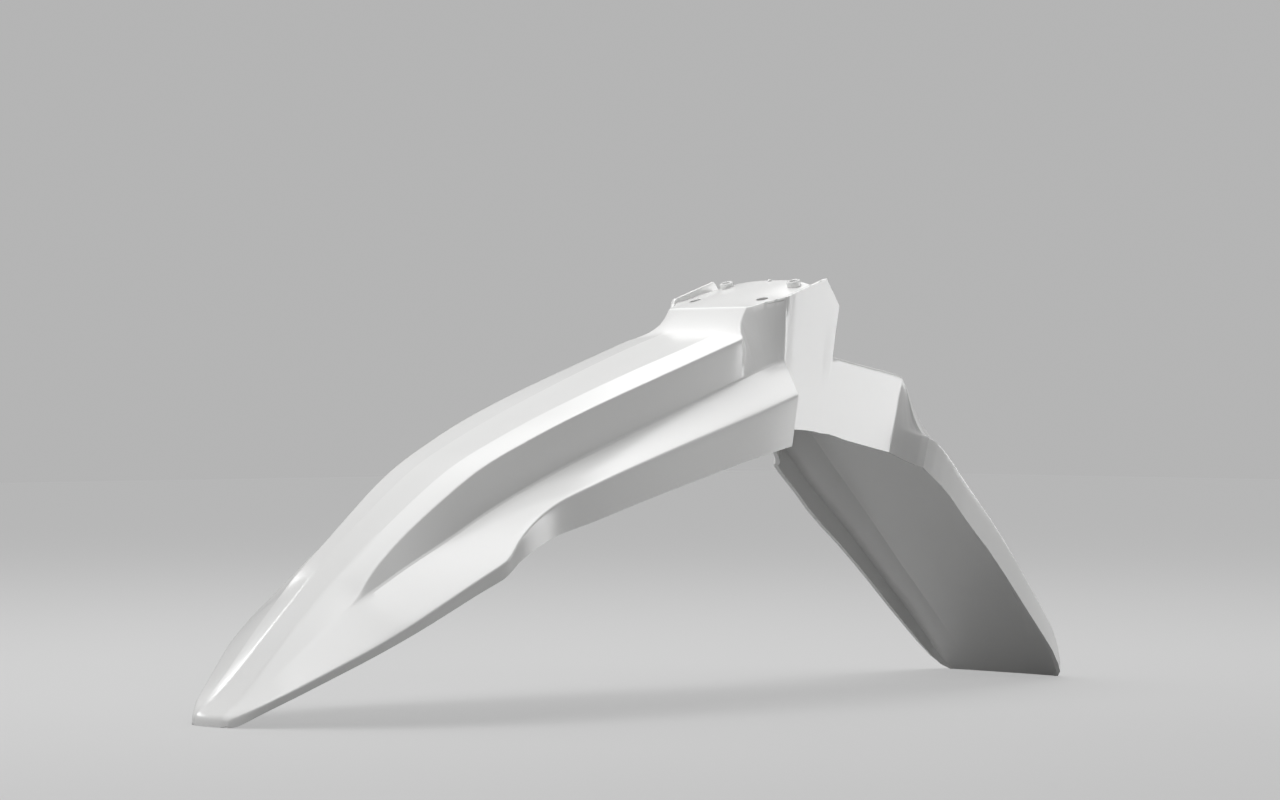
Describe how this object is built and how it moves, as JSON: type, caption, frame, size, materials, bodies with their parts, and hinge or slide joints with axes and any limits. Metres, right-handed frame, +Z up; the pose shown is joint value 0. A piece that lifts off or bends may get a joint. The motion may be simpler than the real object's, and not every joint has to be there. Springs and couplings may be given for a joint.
{
  "type": "motorcycle front mudguard",
  "caption": "One-piece off-road front mudguard: long grooved nose, side skirts, raised mounting deck with upright ears, narrow waist between the fork legs and a drooping rear flap.",
  "frame": {"origin": "middle of the box round the part, on the table it stands on", "axes": "+X from the nose to the rear edge, +Y to the rider's right, +Z up, in the resting pose of the picture with nose and rear edge on the table"},
  "size_m": [0.72, 0.194, 0.2824],
  "materials": {
    "mudguard": "gloss"
  },
  "bodies": {
    "root": {"mudguard": "mudguard"}
  },
  "joints": []
}
